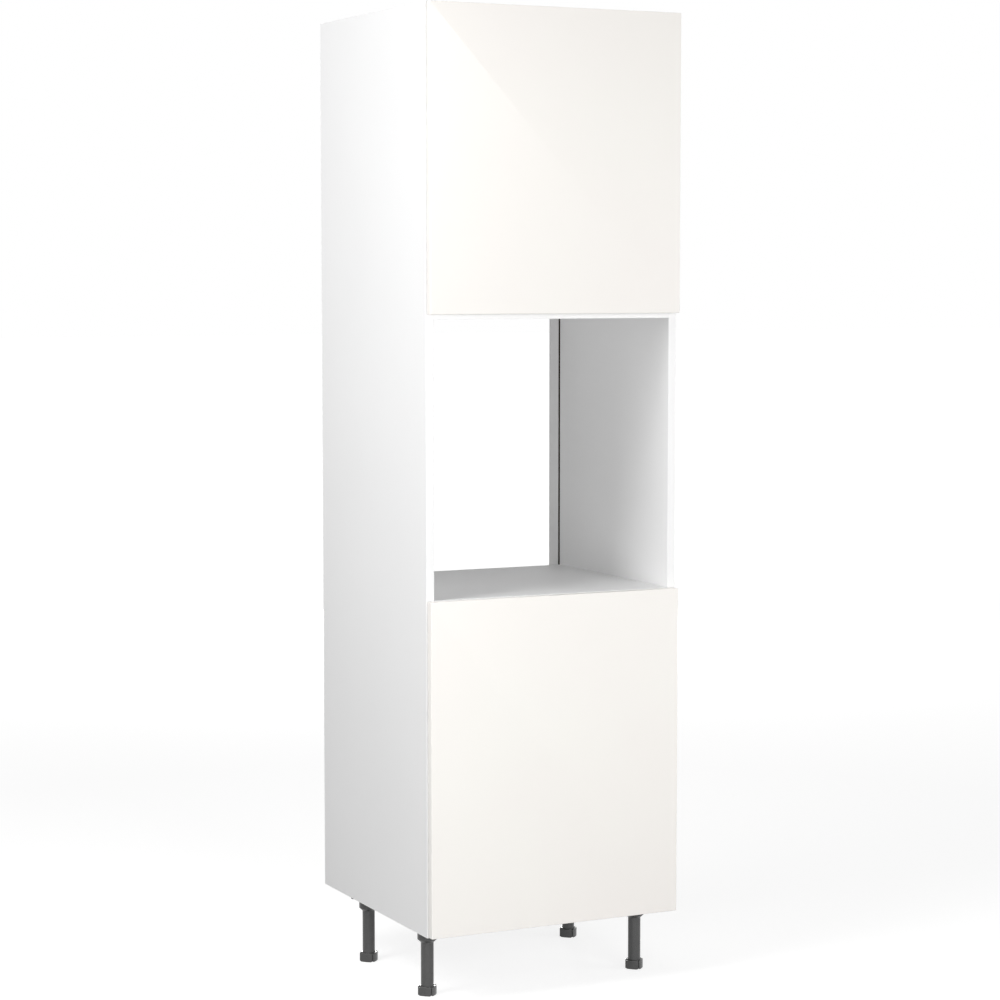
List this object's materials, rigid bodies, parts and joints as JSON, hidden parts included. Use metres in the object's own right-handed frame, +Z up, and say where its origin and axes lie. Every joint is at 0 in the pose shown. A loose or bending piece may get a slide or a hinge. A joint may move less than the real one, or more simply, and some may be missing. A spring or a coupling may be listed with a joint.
{
  "type": "tall oven housing unit",
  "caption": "Tall white kitchen cabinet with an open niche for a built-in oven between a lower and an upper cupboard with slab doors, on adjustable legs.",
  "frame": {"origin": "on the floor, at the middle of the footprint from the door fronts to the back of the side panels", "axes": "+X to the right as seen from the front, +Y to the back, +Z up"},
  "size_m": [0.6, 0.59, 2.12],
  "materials": {
    "white_board": "satin melamine face",
    "back_board": "satin melamine face",
    "edge_band": "satin",
    "door_lacquer": "satin lacquer",
    "zinc": "nickel plated",
    "pin_steel": "zinc plated",
    "beech": "raw",
    "leg_plastic": "fine grain",
    "bumper_rubber": "clear"
  },
  "bodies": {
    "carcass": {"left_side_panel": "white_board", "right_side_panel": "white_board", "side_edge_bands": "edge_band", "top_panel": "white_board", "base_panel": "white_board", "oven_shelf": "white_board", "over_oven_shelf": "white_board", "shelf_edge_bands": "edge_band", "upper_back_panel": "back_board", "lower_back_panel": "back_board", "wall_fixing_rail": "white_board", "upper_adjustable_shelf": "white_board", "lower_adjustable_shelf": "white_board", "upper_shelf_pins": "zinc", "lower_shelf_pins": "zinc", "cam_locks": "zinc", "cam_bolts": "zinc", "cam_caps": "edge_band", "dowels": "beech", "hinge_plates": "zinc", "hinge_arms": "zinc", "hinge_arm_pins": "pin_steel", "hinge_plate_screws": "pin_steel", "hinge_adjusters": "pin_steel", "front_left_leg_socket": "leg_plastic", "front_right_leg_socket": "leg_plastic", "rear_left_leg_socket": "leg_plastic", "rear_right_leg_socket": "leg_plastic", "front_left_leg_tube": "leg_plastic", "front_right_leg_tube": "leg_plastic", "rear_left_leg_tube": "leg_plastic", "rear_right_leg_tube": "leg_plastic", "spindle_nuts": "leg_plastic", "leg_socket_screws": "pin_steel"},
    "upper_links": {"upper_hinge_links": "zinc"},
    "upper_door": {"upper_door": "door_lacquer", "upper_door_bumpers": "bumper_rubber", "upper_hinge_cups": "zinc", "upper_cup_pins": "pin_steel", "upper_cup_screws": "pin_steel"},
    "lower_links": {"lower_hinge_links": "zinc"},
    "lower_door": {"lower_door": "door_lacquer", "lower_door_bumpers": "bumper_rubber", "lower_hinge_cups": "zinc", "lower_cup_pins": "pin_steel", "lower_cup_screws": "pin_steel"},
    "front_left_foot": {"front_left_foot": "leg_plastic", "front_left_spindle": "pin_steel"},
    "front_right_foot": {"front_right_foot": "leg_plastic", "front_right_spindle": "pin_steel"},
    "rear_left_foot": {"rear_left_foot": "leg_plastic", "rear_left_spindle": "pin_steel"},
    "rear_right_foot": {"rear_right_foot": "leg_plastic", "rear_right_spindle": "pin_steel"}
  },
  "joints": [
    {"name": "upper_link_swing", "type": "hinge", "parent": "carcass", "child": "upper_links", "pos_m": [0.265, -0.277, 1.796], "axis": [0, 0, 1], "range_deg": [-33, 0]},
    {"name": "upper_door_swing", "type": "hinge", "parent": "upper_links", "child": "upper_door", "pos_m": [0.287, -0.283, 1.796], "axis": [0, 0, 1], "range_deg": [0, 143]},
    {"name": "lower_link_swing", "type": "hinge", "parent": "carcass", "child": "lower_links", "pos_m": [0.265, -0.277, 0.511], "axis": [0, 0, 1], "range_deg": [-33, 0]},
    {"name": "lower_door_swing", "type": "hinge", "parent": "lower_links", "child": "lower_door", "pos_m": [0.287, -0.283, 0.511], "axis": [0, 0, 1], "range_deg": [0, 143]},
    {"name": "front_left_foot_screw", "type": "slide", "parent": "carcass", "child": "front_left_foot", "axis": [0, 0, -1], "range_m": [0, 0.02]},
    {"name": "front_right_foot_screw", "type": "slide", "parent": "carcass", "child": "front_right_foot", "axis": [0, 0, -1], "range_m": [0, 0.02]},
    {"name": "rear_left_foot_screw", "type": "slide", "parent": "carcass", "child": "rear_left_foot", "axis": [0, 0, -1], "range_m": [0, 0.02]},
    {"name": "rear_right_foot_screw", "type": "slide", "parent": "carcass", "child": "rear_right_foot", "axis": [0, 0, -1], "range_m": [0, 0.02]}
  ],
  "couplings": [
    {"joint": "upper_link_swing", "follows": "upper_door_swing", "ratio": -0.23077},
    {"joint": "lower_link_swing", "follows": "lower_door_swing", "ratio": -0.23077}
  ]
}
